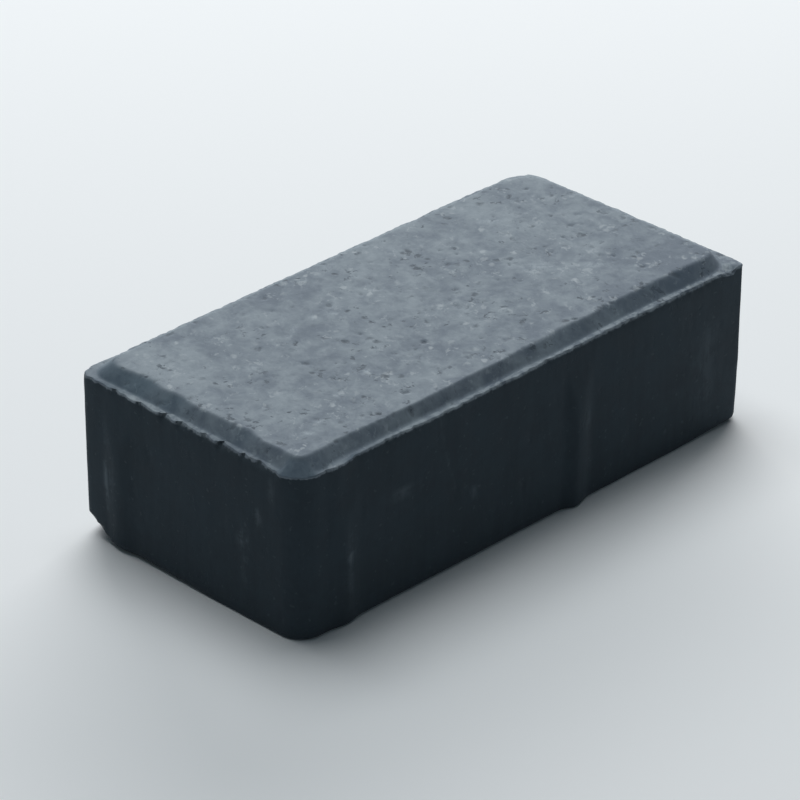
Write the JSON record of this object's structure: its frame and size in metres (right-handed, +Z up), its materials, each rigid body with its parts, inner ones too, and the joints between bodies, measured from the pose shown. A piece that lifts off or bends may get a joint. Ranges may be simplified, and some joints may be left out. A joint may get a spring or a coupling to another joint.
{
  "type": "concrete paving stone",
  "caption": "Rectangular concrete paving stone with a chamfered top edge, a narrow land round it and upright spacer lugs on the sides, for laying paths and yards.",
  "frame": {"origin": "middle of the underside", "axes": "+X along the length, +Y across the width, +Z up to the wearing face"},
  "size_m": [0.2018, 0.1018, 0.06],
  "materials": {
    "concrete": "dry pressed concrete, matt, fine open texture"
  },
  "bodies": {
    "root": {"paving_stone": "concrete"}
  },
  "joints": []
}
